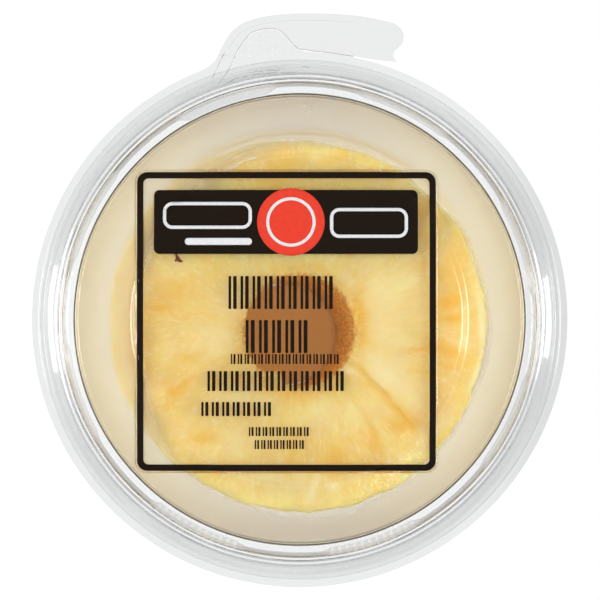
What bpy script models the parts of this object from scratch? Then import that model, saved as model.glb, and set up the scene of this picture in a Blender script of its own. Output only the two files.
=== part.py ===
"""A cored pineapple in a shut, clear tub.

A peeled cylinder of pineapple with its core bored out stands on end in a clear formed tub, in a little
of its own juice. A clear lid is pressed into the tub's rim, a square film label lies on the lid, and a
tear strip with a free pull tab runs along one stretch of the tub's flange.

Metres, +Z up. The origin is the middle of the tub's flat base, on the tub's axis. The tear strip is
at +Y.
"""

import math

import bmesh
import bpy
from mathutils import Matrix, Vector

MM = 0.001

# Driving sizes, in millimetres.
FLANGE_RADIUS = 68.0
PACK_HEIGHT = 77.8
WALL = 0.6
GAP = 0.3
ROUND_SIDES = 64

# The tub: a flat base, a tapered wall and a rim that lies under the lid's.
BASE_RADIUS = 51.5
BASE_CORNER = 4.6
FLANGE_TOP = 73.0

# The lid, from its middle out: a raised disc, a flat panel, a ledge with lugs, and a crest.
PANEL_TOP = 71.5
DISC_RADIUS = 41.35
DISC_STEP_WIDTH = 1.8
DISC_RISE = 1.3
PANEL_RADIUS = 56.3
LEDGE_INNER = 56.5
LEDGE_OUTER = 59.7
LEDGE_TOP = 74.2
CREST_INNER = 61.0
CREST_OUTER = 62.0
LID_EDGE_RADIUS = 65.9
LUG_COUNT = 8
LUG_SPAN = math.radians(24.0)
LUG_FIRST = math.radians(18.5)
LUG_RISE = 1.6

# The tear strip lies in the plane of the flange. The cut that frees it is this line, seen from above.
CUT_WIDTH = 0.3
CUT_LINE = [
    (-17.1, 65.0),
    (-16.3, 66.6),
    (-15.2, 68.9),
    (-13.6, 71.3),
    (-11.6, 72.9),
    (-8.7, 73.6),
    (-6.3, 73.6),
    (-4.6, 72.9),
    (-3.2, 71.6),
    (-1.8, 69.9),
    (-0.2, 68.5),
    (1.6, 67.5),
]
STRIP_OUTER = [
    (-21.8, 65.1),
    (-19.9, 68.5),
    (-17.6, 72.8),
    (-14.6, 75.4),
    (-10.2, 76.8),
    (-4.0, 77.6),
    (4.0, 77.9),
    (14.7, 77.3),
    (23.6, 76.0),
]
TAB_END = [(26.2, 73.6), (25.8, 70.6), (24.4, 68.9), (24.1, 67.4), (24.7, 65.8)]
TAB_INNER = [(19.5, 66.5), (12.2, 67.8), (6.0, 68.35)]
STRIP_ROOT = [(-19.3, 65.6)]

# The pineapple: it stands a little off the tub's axis, and its top leans further off than its base.
FRUIT_RADIUS_TOP = 48.0
FRUIT_RADIUS_BASE = 45.8
FRUIT_TOP = 70.6
FRUIT_BASE = WALL + GAP
FRUIT_CENTRE_TOP = (-0.5, -1.55)
FRUIT_CENTRE_BASE = (-0.3, -0.5)
FRUIT_EDGE = 1.2
KNIFE_FLATS = ((2, 0.49, 2.36), (3, 0.23, -0.05), (4, 0.18, 0.02), (13, 0.12, 1.3))
EYE_COUNT = 11
EYE_PITCH = 26.0
EYE_DEPTH = 0.7

# The bore where the core was.
CORE_RADIUS = 13.9
CORE_CENTRE_TOP = (0.0, -2.9)
CORE_CENTRE_BASE = (-4.6, -4.6)
CORE_EDGE = 0.7

# Juice that has run out of the fruit.
JUICE_LEVEL = 12.0

# The label.
LABEL_SIDE = 77.0
LABEL_CORNER = 3.0
LABEL_CENTRE = (-3.35, -0.5)
LABEL_THICKNESS = 0.3


def clear_scene():
    for obj in list(bpy.data.objects):
        bpy.data.objects.remove(obj)


def collection(name):
    made = bpy.data.collections.new(name)
    bpy.context.scene.collection.children.link(made)
    return made


def material(name, colour, roughness, alpha=1.0, transmission=0.0):
    made = bpy.data.materials.new(name)
    made.use_nodes = True
    shader = made.node_tree.nodes["Principled BSDF"]
    shader.inputs["Base Color"].default_value = (*colour, 1.0)
    shader.inputs["Roughness"].default_value = roughness
    shader.inputs["Metallic"].default_value = 0.0
    shader.inputs["Alpha"].default_value = alpha
    shader.inputs["Transmission Weight"].default_value = transmission
    return made


def add_object(name, data, home, surface=None):
    obj = bpy.data.objects.new(name, data)
    home.objects.link(obj)
    if surface:
        obj.data.materials.append(surface)
    return obj


def add_cutter(obj, target, operation):
    """Hides obj and joins it to the target or cuts it from the target."""
    obj.hide_render = True
    obj.display_type = "WIRE"
    modifier = target.modifiers.new(obj.name, "BOOLEAN")
    modifier.operation = operation
    modifier.object = obj
    modifier.solver = "EXACT"


def offset_line(points, distance):
    """An open line moved sideways by distance, to the right of its direction, with mitred corners."""
    moved = []
    last = len(points) - 1
    for i, point in enumerate(points):
        here = Vector(point)
        into = here - Vector(points[i - 1]) if i > 0 else Vector(points[1]) - here
        out = Vector(points[i + 1]) - here if i < last else into
        right_in = Vector((into.y, -into.x)).normalized()
        right_out = Vector((out.y, -out.x)).normalized()
        mitre = (right_in + right_out).normalized()
        moved.append(tuple(here + mitre * (distance / mitre.dot(right_in))))
    return moved


def lid_line():
    """The lid's upper line, from its middle out to its edge, as (radius, height) pairs."""
    return [
        (0.0, PANEL_TOP + DISC_RISE),
        (DISC_RADIUS, PANEL_TOP + DISC_RISE),
        (DISC_RADIUS + DISC_STEP_WIDTH, PANEL_TOP),
        (PANEL_RADIUS, PANEL_TOP),
        (LEDGE_INNER, LEDGE_TOP),
        (LEDGE_OUTER, LEDGE_TOP + 0.2),
        (60.3, PACK_HEIGHT - 0.6),
        (CREST_INNER, PACK_HEIGHT),
        (CREST_OUTER, PACK_HEIGHT),
        (62.6, PACK_HEIGHT - 0.5),
        (64.9, FLANGE_TOP + GAP + WALL),
        (LID_EDGE_RADIUS, FLANGE_TOP + GAP + WALL),
    ]


def tub_line():
    """The tub's inner and upper line, from the middle of its floor to the flange's edge. The part
    under the lid's rim lies a wall and a gap below the lid's own line."""
    inner_corner = BASE_CORNER - WALL
    centre = (BASE_RADIUS - BASE_CORNER, BASE_CORNER)
    turns = [math.radians(turn) for turn in (0, 28, 56, 84)]
    corner = [
        (centre[0] + inner_corner * math.sin(turn), centre[1] - inner_corner * math.cos(turn))
        for turn in turns
    ]
    under_lid = offset_line(lid_line()[3:], WALL + GAP)
    plug_top, ledge_end = under_lid[1:3]
    slope_end = under_lid[-2]
    return [
        (0.0, WALL),
        *corner,
        plug_top,
        ledge_end,
        (61.5, PACK_HEIGHT - 1.1),
        (slope_end[0], FLANGE_TOP),
        (FLANGE_RADIUS, FLANGE_TOP),
    ]


def turned_wall(name, line, home, surface):
    """A thin wall turned about Z: the given line, and the same line a wall's thickness below it."""
    under = offset_line(line, WALL)
    loop = line + list(reversed(under))
    mesh = bpy.data.meshes.new(name)
    edges = [(i, i + 1) for i in range(len(loop) - 1)]
    mesh.from_pydata([(r * MM, 0.0, z * MM) for r, z in loop], edges, [])
    obj = add_object(name, mesh, home, surface)
    turn = obj.modifiers.new("turn", "SCREW")
    turn.angle = 2 * math.pi
    turn.steps = ROUND_SIDES
    turn.render_steps = ROUND_SIDES
    turn.use_merge_vertices = True
    turn.merge_threshold = 0.00001
    turn.use_normal_calculate = True
    turn.use_smooth_shade = True
    return obj


def sheet(name, outline, thickness, middle, home, surface=None, resolution=2):
    """A flat sheet with a smooth outline through the given points, as a closed mesh."""
    curve = bpy.data.curves.new(name, "CURVE")
    curve.dimensions = "2D"
    curve.fill_mode = "BOTH"
    curve.extrude = thickness / 2 * MM
    curve.resolution_u = resolution
    spline = curve.splines.new("BEZIER")
    spline.bezier_points.add(len(outline) - 1)
    for point, (x, y) in zip(spline.bezier_points, outline):
        point.co = (x * MM, y * MM, 0.0)
        point.handle_left_type = "AUTO"
        point.handle_right_type = "AUTO"
    spline.use_cyclic_u = True
    drawn = bpy.data.objects.new(name, curve)
    mesh = bpy.data.meshes.new_from_object(drawn)
    bpy.data.objects.remove(drawn)
    bpy.data.curves.remove(curve)
    work = bmesh.new()
    work.from_mesh(mesh)
    bmesh.ops.remove_doubles(work, verts=work.verts, dist=0.000001)
    bmesh.ops.recalc_face_normals(work, faces=work.faces)
    bmesh.ops.translate(work, verts=work.verts, vec=(0.0, 0.0, middle * MM))
    work.to_mesh(mesh)
    work.free()
    mesh.materials.clear()
    return add_object(name, mesh, home, surface)


def hinge_plate(home):
    """The piece of flange inside the cut line, beyond the flange's round edge."""
    edge = offset_line(CUT_LINE, CUT_WIDTH / 2)
    root = [(-1.0, 64.5), (-9.0, 63.8), (-16.0, 62.6)]
    return sheet("hinge_plate", edge + root, WALL, FLANGE_TOP - WALL / 2, home)


def tear_strip(home, surface):
    """The strip outside the cut line, with its pull tab."""
    edge = list(reversed(offset_line(CUT_LINE[1:-1], -CUT_WIDTH / 2)))
    outline = STRIP_OUTER + TAB_END + TAB_INNER + edge + STRIP_ROOT
    return sheet("tear_strip", outline, WALL, FLANGE_TOP - WALL / 2, home, surface)


def lug(index, home):
    """One of the blocks on the lid's ledge: a wedge, upright against the crest's inner wall."""
    toe = LEDGE_INNER + 1.6
    heel = LEDGE_OUTER + 0.35
    low = LEDGE_TOP - 0.3
    high = LEDGE_TOP + LUG_RISE
    section = [(toe, low), (heel, low), (heel, high), (toe + 0.5, high)]
    start = LUG_FIRST + index * 2 * math.pi / LUG_COUNT - LUG_SPAN / 2
    work = bmesh.new()
    corners = [work.verts.new((r * MM, 0.0, z * MM)) for r, z in section]
    face = work.faces.new(corners)
    turn = Matrix.Rotation(start, 3, "Z")
    bmesh.ops.rotate(work, verts=corners, cent=(0, 0, 0), matrix=turn)
    bmesh.ops.spin(
        work,
        geom=[face, *face.edges, *face.verts],
        cent=(0, 0, 0),
        axis=(0, 0, 1),
        angle=LUG_SPAN,
        steps=4,
    )
    bmesh.ops.recalc_face_normals(work, faces=work.faces)
    mesh = bpy.data.meshes.new(f"lug_{index}")
    work.to_mesh(mesh)
    work.free()
    return add_object(mesh.name, mesh, home)


def between(base, top, height):
    """A point on the straight line from base to top, at the given height in the fruit."""
    share = (height - FRUIT_BASE) / (FRUIT_TOP - FRUIT_BASE)
    return tuple(b + (t - b) * share for b, t in zip(base, top))


def peeled_radius(angle, height):
    """The radius of the peeled side before its eyes are cut: it widens upwards and has knife flats."""
    share = (height - FRUIT_BASE) / (FRUIT_TOP - FRUIT_BASE)
    radius = FRUIT_RADIUS_BASE + (FRUIT_RADIUS_TOP - FRUIT_RADIUS_BASE) * share
    return radius + sum(size * math.sin(times * angle + start) for times, size, start in KNIFE_FLATS)


def side_point(angle, height, inset=0.0):
    """A point on the fruit's peeled side, with shallow hollows where the eyes were."""
    eyes = 0.5 + 0.5 * math.cos(EYE_COUNT * angle) * math.cos(2 * math.pi * height / EYE_PITCH)
    radius = peeled_radius(angle, height) - EYE_DEPTH * eyes - inset
    cx, cy = between(FRUIT_CENTRE_BASE, FRUIT_CENTRE_TOP, height)
    return cx + radius * math.cos(angle), cy + radius * math.sin(angle), height


def bore_point(angle, height, inset=0.0):
    """A point on the wall of the bore."""
    radius = CORE_RADIUS - inset
    cx, cy = between(CORE_CENTRE_BASE, CORE_CENTRE_TOP, height)
    return cx + radius * math.cos(angle), cy + radius * math.sin(angle), height


def fruit_section(angle):
    """The fruit's closed section at one angle: up its side, across its top, down the bore, and back
    across its base."""
    low, high = FRUIT_BASE, FRUIT_TOP
    side_heights = [low + FRUIT_EDGE + (high - low - 2 * FRUIT_EDGE) * step / 8 for step in range(9)]
    bore_heights = [low + CORE_EDGE + (high - low - 2 * CORE_EDGE) * step / 4 for step in range(5)]
    rim = side_point(angle, high, FRUIT_EDGE)
    lip = bore_point(angle, high, -CORE_EDGE)
    half_way = tuple((a + b) / 2 for a, b in zip(rim, lip))
    return [
        side_point(angle, low, FRUIT_EDGE),
        *[side_point(angle, height) for height in side_heights],
        rim,
        half_way,
        lip,
        *[bore_point(angle, height) for height in reversed(bore_heights)],
        bore_point(angle, low, -CORE_EDGE),
    ]


def juice_section(angle):
    """The pool's closed section at one angle, between the fruit and the tub's inner wall."""
    wall = offset_line(tub_line()[1:6], -GAP)

    def wall_radius(height):
        for (r0, z0), (r1, z1) in zip(wall, wall[1:]):
            if z0 <= height <= z1:
                return r0 + (r1 - r0) * (height - z0) / (z1 - z0)
        return wall[0][0]

    def fruit_side(height):
        radius = peeled_radius(angle, height) + GAP
        cx, cy = between(FRUIT_CENTRE_BASE, FRUIT_CENTRE_TOP, height)
        return cx + radius * math.cos(angle), cy + radius * math.sin(angle), height

    low = FRUIT_BASE + 1.5
    heights = (low, BASE_CORNER + 0.4, JUICE_LEVEL)
    outer = [
        (wall_radius(height) * math.cos(angle), wall_radius(height) * math.sin(angle), height)
        for height in heights
    ]
    inner = [fruit_side(height) for height in reversed(heights)]
    return outer + inner


def ring(name, section, home, surface):
    """A closed ring whose section changes with the angle."""
    angles = [2 * math.pi * step / ROUND_SIDES for step in range(ROUND_SIDES)]
    rows = [section(angle) for angle in angles]
    size = len(rows[0])
    points = [(x * MM, y * MM, z * MM) for row in rows for x, y, z in row]
    faces = []
    for i in range(ROUND_SIDES):
        here = i * size
        there = (i + 1) % ROUND_SIDES * size
        for j in range(size):
            k = (j + 1) % size
            faces.append((here + j, there + j, there + k, here + k))
    mesh = bpy.data.meshes.new(name)
    mesh.from_pydata(points, [], faces)
    mesh.shade_smooth()
    mesh.set_sharp_from_angle(angle=math.radians(40))
    return add_object(name, mesh, home, surface)


def core_juice(home, surface):
    """The juice in the foot of the bore: a slice of the bore, a gap smaller all round."""
    work = bmesh.new()
    rings = []
    for height in (FRUIT_BASE + CORE_EDGE, JUICE_LEVEL):
        points = [
            bore_point(2 * math.pi * step / ROUND_SIDES, height, GAP) for step in range(ROUND_SIDES)
        ]
        rings.append([work.verts.new((x * MM, y * MM, z * MM)) for x, y, z in points])
    low, high = rings
    work.faces.new(list(reversed(low)))
    work.faces.new(high)
    for i in range(ROUND_SIDES):
        j = (i + 1) % ROUND_SIDES
        work.faces.new((low[i], low[j], high[j], high[i]))
    bmesh.ops.recalc_face_normals(work, faces=work.faces)
    mesh = bpy.data.meshes.new("core_juice")
    work.to_mesh(mesh)
    work.free()
    mesh.shade_smooth()
    mesh.set_sharp_from_angle(angle=math.radians(40))
    return add_object("core_juice", mesh, home, surface)


def label(home, surface):
    """The square film label, with rounded corners."""
    half = LABEL_SIDE / 2
    centre = half - LABEL_CORNER
    outline = []
    for quarter in range(4):
        for step in range(5):
            turn = math.radians(90 * quarter + 22.5 * step)
            x = math.copysign(centre, math.cos(math.radians(90 * quarter + 45)))
            y = math.copysign(centre, math.sin(math.radians(90 * quarter + 45)))
            outline.append((x + LABEL_CORNER * math.cos(turn), y + LABEL_CORNER * math.sin(turn)))
    bottom = PANEL_TOP + DISC_RISE + GAP
    work = bmesh.new()
    shift = Vector((LABEL_CENTRE[0], LABEL_CENTRE[1], 0.0))
    corners = [work.verts.new((Vector((x, y, bottom)) + shift) * MM) for x, y in outline]
    face = work.faces.new(corners)
    raised = bmesh.ops.extrude_face_region(work, geom=[face])
    moved = [item for item in raised["geom"] if isinstance(item, bmesh.types.BMVert)]
    bmesh.ops.translate(work, verts=moved, vec=(0.0, 0.0, LABEL_THICKNESS * MM))
    bmesh.ops.recalc_face_normals(work, faces=work.faces)
    mesh = bpy.data.meshes.new("label")
    work.to_mesh(mesh)
    work.free()
    return add_object("label", mesh, home, surface)


def build():
    clear_scene()
    parts = collection("cored_pineapple_pack")
    cutters = collection("cored_pineapple_pack_cutters")
    clear = material("clear_plastic", (0.93, 0.95, 0.95), 0.06, alpha=0.35, transmission=0.9)
    flesh = material("pineapple_flesh", (0.86, 0.62, 0.20), 0.42)
    juice_look = material("pineapple_juice", (0.80, 0.62, 0.26), 0.10)
    film = material("label_film", (0.30, 0.26, 0.24), 0.35, alpha=0.6)

    tub = turned_wall("tub", tub_line(), parts, clear)
    add_cutter(hinge_plate(cutters), tub, "UNION")
    tear_strip(parts, clear)

    lid = turned_wall("lid", lid_line(), parts, clear)
    for index in range(LUG_COUNT):
        add_cutter(lug(index, cutters), lid, "UNION")
    label(parts, film)

    ring("pineapple", fruit_section, parts, flesh)
    ring("juice", juice_section, parts, juice_look)
    core_juice(parts, juice_look)


if __name__ == "__main__":
    build()
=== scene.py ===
"""The looks of a cored pineapple in a shut, clear tub.

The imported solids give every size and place. This script puts the detailed pieces on them: the formed
clear sheets of the tub, lid and tear strip, the film label with its print, the cut fruit, and the juice.

Lengths are written in millimetres and turned into metres by MM. The tub's axis is Z, and the tear strip
is at +Y.
"""

import math
import random

import bmesh
import bpy
import numpy as np
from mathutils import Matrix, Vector, geometry, noise


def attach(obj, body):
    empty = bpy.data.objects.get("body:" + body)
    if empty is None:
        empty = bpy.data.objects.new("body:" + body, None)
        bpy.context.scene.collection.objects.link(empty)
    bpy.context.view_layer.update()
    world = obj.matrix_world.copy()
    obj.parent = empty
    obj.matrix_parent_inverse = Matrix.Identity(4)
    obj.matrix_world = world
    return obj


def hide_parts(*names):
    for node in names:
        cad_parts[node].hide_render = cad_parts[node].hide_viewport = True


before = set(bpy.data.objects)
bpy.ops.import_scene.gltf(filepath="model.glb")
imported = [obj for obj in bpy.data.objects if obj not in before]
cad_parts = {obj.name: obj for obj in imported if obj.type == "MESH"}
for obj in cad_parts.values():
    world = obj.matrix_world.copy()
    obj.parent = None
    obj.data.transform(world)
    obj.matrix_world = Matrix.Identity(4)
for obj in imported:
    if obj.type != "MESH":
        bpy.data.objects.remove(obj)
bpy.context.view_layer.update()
MM = 0.001


# The camera. It hangs straight above the pack, a little towards the tear strip, so that the pack and its
# strip are centred in the frame. Nothing is tilted or shifted.
LID_HEIGHT = 72.4
CAMERA_ABOVE_LID = 950.0
VIEW_WIDTH = 152.4
VIEW_CENTRE = (0.1, 4.95)
SENSOR = 36.0

camera_data = bpy.data.cameras.new("camera")
camera_data.sensor_width = SENSOR
camera_data.lens = SENSOR * CAMERA_ABOVE_LID / VIEW_WIDTH
camera_data.clip_start = 0.05
camera = bpy.data.objects.new("camera", camera_data)
camera.location = (VIEW_CENTRE[0] * MM, VIEW_CENTRE[1] * MM, (LID_HEIGHT + CAMERA_ABOVE_LID) * MM)
bpy.context.scene.collection.objects.link(camera)
bpy.context.scene.camera = camera


# The studio. A white table that glows, a soft grey room, and two tall soft boxes, one on each
# side, which give the bright arcs on the rim. The room is darker straight overhead, so that the flat lid
# shows what is under it. The table glows less on the right, from under the tub's right flange outwards:
# this is a painted soft shadow of the tub, seen through the flange.
TABLE_SIZE = 6.0
TABLE_BELOW = 0.02
TABLE_GLOW_LEFT = 1.16
TABLE_GLOW_RIGHT = 1.0
TABLE_GLOW_ON_FOOD = 0.62
ROOM_GREY = 0.46
ROOM_OVERHEAD = 0.12
TABLE_SHADOW_SPAN = (0.045, 0.068)
OVERHEAD = (0.80, 0.97)
WHITE = (1.0, 1.0, 1.0, 1.0)
BOXES = (
    ("soft_box_left", (-0.62, 0.0, 0.62), (0.34, 0.75), 3.2),
    ("soft_box_right", (0.62, 0.0, 0.62), (0.26, 0.75), 3.2),
)
BOXES_AIM = (0.0, 0.0, 0.05)

scene = bpy.context.scene
scene.view_settings.view_transform = "Standard"
scene.view_settings.look = "None"
scene.cycles.max_bounces = 24
scene.cycles.transmission_bounces = 24
scene.cycles.transparent_max_bounces = 24
scene.cycles.glossy_bounces = 8
scene.cycles.diffuse_bounces = 4
scene.cycles.use_denoising = True


def add_node(tree, kind, inputs=None, **settings):
    """A shader node. Each of its named inputs gets a value or is linked to another node's output."""
    node = tree.nodes.new("ShaderNode" + kind)
    for name, value in settings.items():
        setattr(node, name, value)
    set_inputs(tree, node, inputs or {})
    return node


def set_inputs(tree, node, inputs):
    for name, value in inputs.items():
        if isinstance(value, bpy.types.NodeSocket):
            tree.links.new(value, node.inputs[name])
        else:
            node.inputs[name].default_value = value


def level(tree, value, spread, low=0.0, high=1.0, curve="LINEAR"):
    """A value carried over from the span called spread to the one from low to high."""
    limits = {"From Min": spread[0], "From Max": spread[1], "To Min": low, "To Max": high}
    node = add_node(tree, "MapRange", {"Value": value, **limits}, interpolation_type=curve)
    return node.outputs["Result"]


world = bpy.data.worlds.new("room")
world.use_nodes = True
scene.world = world
room = world.node_tree
room.nodes.clear()
way = add_node(room, "TexCoord")
split = add_node(room, "SeparateXYZ", {0: way.outputs["Generated"]})
lit_level = level(room, split.outputs["Z"], OVERHEAD, ROOM_GREY, ROOM_OVERHEAD, "SMOOTHSTEP")
lit = add_node(room, "Background", {"Color": WHITE, "Strength": lit_level})
seen = add_node(room, "Background", {"Color": WHITE})
ray = add_node(room, "LightPath")
either = {0: ray.outputs["Is Camera Ray"], 1: lit.outputs[0], 2: seen.outputs[0]}
add_node(room, "OutputWorld", {"Surface": add_node(room, "MixShader", either).outputs[0]})

table_mesh = bpy.data.meshes.new("table")
half = TABLE_SIZE / 2
table_mesh.from_pydata(
    [(-half, -half, 0), (half, -half, 0), (half, half, 0), (-half, half, 0)], [], [(0, 1, 2, 3)]
)
table = bpy.data.objects.new("table", table_mesh)
table.location.z = -TABLE_BELOW * MM
scene.collection.objects.link(table)
table_look = bpy.data.materials.new("white_table")
table_look.use_nodes = True
tree = table_look.node_tree
tree.nodes.clear()
place = add_node(tree, "TexCoord")
split = add_node(tree, "SeparateXYZ", {0: place.outputs["Object"]})
# painted shadow: the table's glow falls from the left level to the right level across this span
slope = level(tree, split.outputs["X"], TABLE_SHADOW_SPAN, TABLE_GLOW_LEFT, TABLE_GLOW_RIGHT, "SMOOTHSTEP")
ray = add_node(tree, "LightPath")
table_level = level(tree, ray.outputs["Is Diffuse Ray"], (0.0, 1.0), slope, TABLE_GLOW_ON_FOOD)
glow = add_node(tree, "Emission", {"Strength": table_level})
add_node(tree, "OutputMaterial", {"Surface": glow.outputs[0]})
table_mesh.materials.append(table_look)

for name, place, size, watts in BOXES:
    lamp = bpy.data.lights.new(name, "AREA")
    lamp.shape = "RECTANGLE"
    lamp.size, lamp.size_y = size
    lamp.energy = watts
    box = bpy.data.objects.new(name, lamp)
    box.location = place
    aim = Vector(BOXES_AIM) - Vector(place)
    box.rotation_euler = aim.to_track_quat("-Z", "Y").to_euler()
    scene.collection.objects.link(box)


# The tub. It is drawn from one clear sheet: a flat floor, a tapered wall, a ledge and a narrow rib that
# the lid's rim presses over, and a flat flange that runs out into a small plate beside the tear strip.
SHEET = 0.42
CAD_WALL = 0.6
BASE_RADIUS = 51.5
BASE_CORNER = 4.6
PANEL_TOP = 71.5
DISC_RISE = 1.3
DISC_RADIUS = 41.4
DISC_STEP = 1.55
LEDGE_TOP = 74.2
PACK_HEIGHT = 77.8
FLANGE_TOP = 73.0
FLANGE_RADIUS = 68.0
FLANGE_CREASE = 66.2
FLANGE_STEP = 0.3
TUB_RIM = [(57.12, 73.5), (59.45, 73.55), (59.95, 74.9), (61.9, 75.0), (64.42, 73.0)]
TUB_ROUNDING = (0.8, 0.3, 0.7, 0.75, 0.45, 0.35, 0.35)
# The grey tints of the tub's outer rim, of its flange and of the flange's own plastic are painted shade:
# the shaded table under the rim, seen through the sheet.
TUB_TINT = (0.94, 0.945, 0.945)
TUB_STEEP_TINT = (0.58, 0.585, 0.59)
TUB_RIM_SHADE_TINT = (0.825, 0.83, 0.83)
FLANGE_SHADE_TINT = (0.775, 0.78, 0.78)
FLANGE_STEEP_TINT = (0.50, 0.51, 0.51)
SHADOW_TINT = (0.94, 0.94, 0.94)
PLASTIC_IOR = 1.5
PLASTIC_ROUGHNESS = 0.04
WET_ROUGHNESS = 0.16
WET_FADE = 2.0
STEEPNESS = (0.08, 0.85)
PLATE_EDGE = [
    (88.0, 68.0), (88.7, 68.05), (90.2, 68.55), (91.5, 69.95), (92.55, 71.72), (93.6, 73.05),
    (94.9, 73.9), (96.7, 74.15), (99.0, 73.85), (100.8, 72.65), (102.4, 70.7), (103.4, 69.15),
    (104.0, 68.95), (104.7, 69.24), (105.4, 69.46), (106.3, 69.76), (107.2, 70.08), (108.0, 69.3),
    (108.9, 68.7), (109.8, 68.3), (111.5, 68.0),
]


def smooth_step(value):
    value = min(max(value, 0.0), 1.0)
    return value * value * (3 - 2 * value)


def rounded(points, radii, steps=6):
    """A line with its corners rounded. Each corner gives the same number of points."""
    line = [points[0]]
    for i in range(1, len(points) - 1):
        here = Vector(points[i])
        back = Vector(points[i - 1]) - here
        ahead = Vector(points[i + 1]) - here
        half_angle = back.angle(ahead) / 2
        reach = max(radii[i - 1] / math.tan(half_angle), 0.02)
        reach = min(reach, back.length * 0.48, ahead.length * 0.48)
        start = here + back.normalized() * reach
        end = here + ahead.normalized() * reach
        for step in range(steps + 1):
            share = step / steps
            line.append(tuple(start.lerp(here, share).lerp(here.lerp(end, share), share)))
    line.append(points[-1])
    return line


def mesh_object(name, points, faces, sharp=50):
    """A smooth mesh from points in millimetres."""
    mesh = bpy.data.meshes.new(name)
    mesh.from_pydata(np.array(points) * MM, [], faces)
    mesh.shade_smooth()
    mesh.set_sharp_from_angle(angle=math.radians(sharp))
    obj = bpy.data.objects.new(name, mesh)
    scene.collection.objects.link(obj)
    return obj


def formed_sheet(name, line_at, thickness, angles):
    """A thin sheet turned round Z. line_at gives its upper line at an angle; the sheet hangs below it."""
    upper = np.array([line_at(angle) for angle in angles])
    along = np.gradient(upper, axis=1)
    along /= np.linalg.norm(along, axis=2, keepdims=True)
    lower = upper + np.stack([along[..., 1], -along[..., 0]], axis=2) * thickness
    lower[:, 0, 0] = 0.0
    loops = np.concatenate([upper[:, 1:], lower[:, :0:-1]], axis=1)
    count, size = loops.shape[:2]
    turns = np.array(angles)[:, None]
    points = np.stack(
        [loops[..., 0] * np.cos(turns), loops[..., 0] * np.sin(turns), loops[..., 1]], axis=2
    ).reshape(-1, 3)
    top, bottom = len(points), len(points) + 1
    poles = [(0.0, 0.0, upper[0, 0, 1]), (0.0, 0.0, lower[0, 0, 1])]
    faces = []
    for i in range(count):
        here, there = i * size, (i + 1) % count * size
        faces.append((top, here, there))
        faces.append((bottom, there + size - 1, here + size - 1))
        faces.extend((here + j, here + j + 1, there + j + 1, there + j) for j in range(size - 1))
    return mesh_object(name, np.concatenate([points, poles]), faces)


def new_look(name, inputs):
    """A material, with its node tree and its shader, whose named inputs get values."""
    look = bpy.data.materials.new(name)
    look.use_nodes = True
    shader = look.node_tree.nodes["Principled BSDF"]
    set_inputs(look.node_tree, shader, inputs)
    return look, look.node_tree, shader


def mask_of(tree, name):
    """A piece's own attribute, as mark writes it."""
    return add_node(tree, "Attribute", attribute_name=name).outputs["Fac"]


def combine(tree, operation, *values):
    """The result of a sum on values or other nodes' outputs."""
    return add_node(tree, "Math", dict(enumerate(values)), operation=operation).outputs[0]


def mix_colour(tree, share, start, end, blend="MIX"):
    """A mix of two colours, each given as three numbers or as another node's output."""
    colours = {
        name: colour if isinstance(colour, bpy.types.NodeSocket) else (*colour, 1.0)
        for name, colour in (("A", start), ("B", end))
    }
    node = add_node(tree, "Mix", {"Factor": share, **colours}, data_type="RGBA", blend_type=blend)
    return node.outputs["Result"]


def clear_plastic(name, tint, steep_tint, roughness=PLASTIC_ROUGHNESS, ior=PLASTIC_IOR, grey_tint=None):
    """Clear formed sheet. It greys where it is seen along its slope, less so by its "thin" attribute, and
    where its "grey" attribute paints shade on it. It lets the light of lamps through."""
    look, tree, shader = new_look(name, {"IOR": ior, "Roughness": roughness, "Transmission Weight": 1.0})
    slope = add_node(tree, "LayerWeight", {"Blend": 0.5})
    steep = level(tree, slope.outputs["Facing"], STEEPNESS)
    thick = combine(tree, "SUBTRACT", 1.0, mask_of(tree, "thin"))
    colour = mix_colour(tree, combine(tree, "MULTIPLY", steep, thick), tint, steep_tint)
    if grey_tint:
        colour = mix_colour(tree, mask_of(tree, "grey"), colour, grey_tint, "MULTIPLY")
    set_inputs(tree, shader, {"Base Color": colour})
    open_to_lamps(tree, shader, SHADOW_TINT)
    return look


def open_to_lamps(tree, shader, colour):
    """Lets the light of lamps through a clear material, tinted, without refraction."""
    through = add_node(tree, "BsdfTransparent", {"Color": (*colour, 1.0)})
    ray = add_node(tree, "LightPath")
    sockets = {0: ray.outputs["Is Shadow Ray"], 1: shader.outputs[0], 2: through.outputs[0]}
    mix = add_node(tree, "MixShader", sockets)
    tree.links.new(mix.outputs[0], tree.nodes["Material Output"].inputs["Surface"])


def write_mask(mesh, name, values):
    mask = mesh.attributes.new(name, "FLOAT", "POINT")
    mask.data.foreach_set("value", values)


def mark(obj, name, share_at):
    """Writes a mask of a piece from each point's place in millimetres."""
    places = np.array([v.co[:] for v in obj.data.vertices]) / MM
    write_mask(obj.data, name, [share_at(*place) for place in places])


def flange_edge(angle):
    """How far out the flange reaches at an angle, with the plate beside the tear strip."""
    degrees = math.degrees(angle)
    if not PLATE_EDGE[0][0] < degrees < PLATE_EDGE[-1][0]:
        return FLANGE_RADIUS
    return float(np.interp(degrees, *zip(*PLATE_EDGE)))


def tub_line(angle):
    inner_corner = BASE_CORNER - CAD_WALL
    foot = []
    for degrees in range(0, 85, 12):
        turn = math.radians(degrees)
        foot.append(
            (
                BASE_RADIUS - BASE_CORNER + inner_corner * math.sin(turn),
                BASE_CORNER - inner_corner * math.cos(turn),
            )
        )
    rim = [
        *TUB_RIM,
        (FLANGE_CREASE - 0.25, FLANGE_TOP),
        (FLANGE_CREASE + 0.15, FLANGE_TOP - FLANGE_STEP),
        (flange_edge(angle), FLANGE_TOP - FLANGE_STEP),
    ]
    soft = rounded([foot[-1], *rim], TUB_ROUNDING)
    floor = [(r, CAD_WALL) for r in (0.0, 20.0, 35.0)]
    wall = [tuple(Vector(soft[0]).lerp(Vector(soft[1]), share)) for share in (0.0, 0.2, 0.4, 0.6, 0.8)]
    return floor + foot[:-1] + wall + soft[1:]


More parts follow.
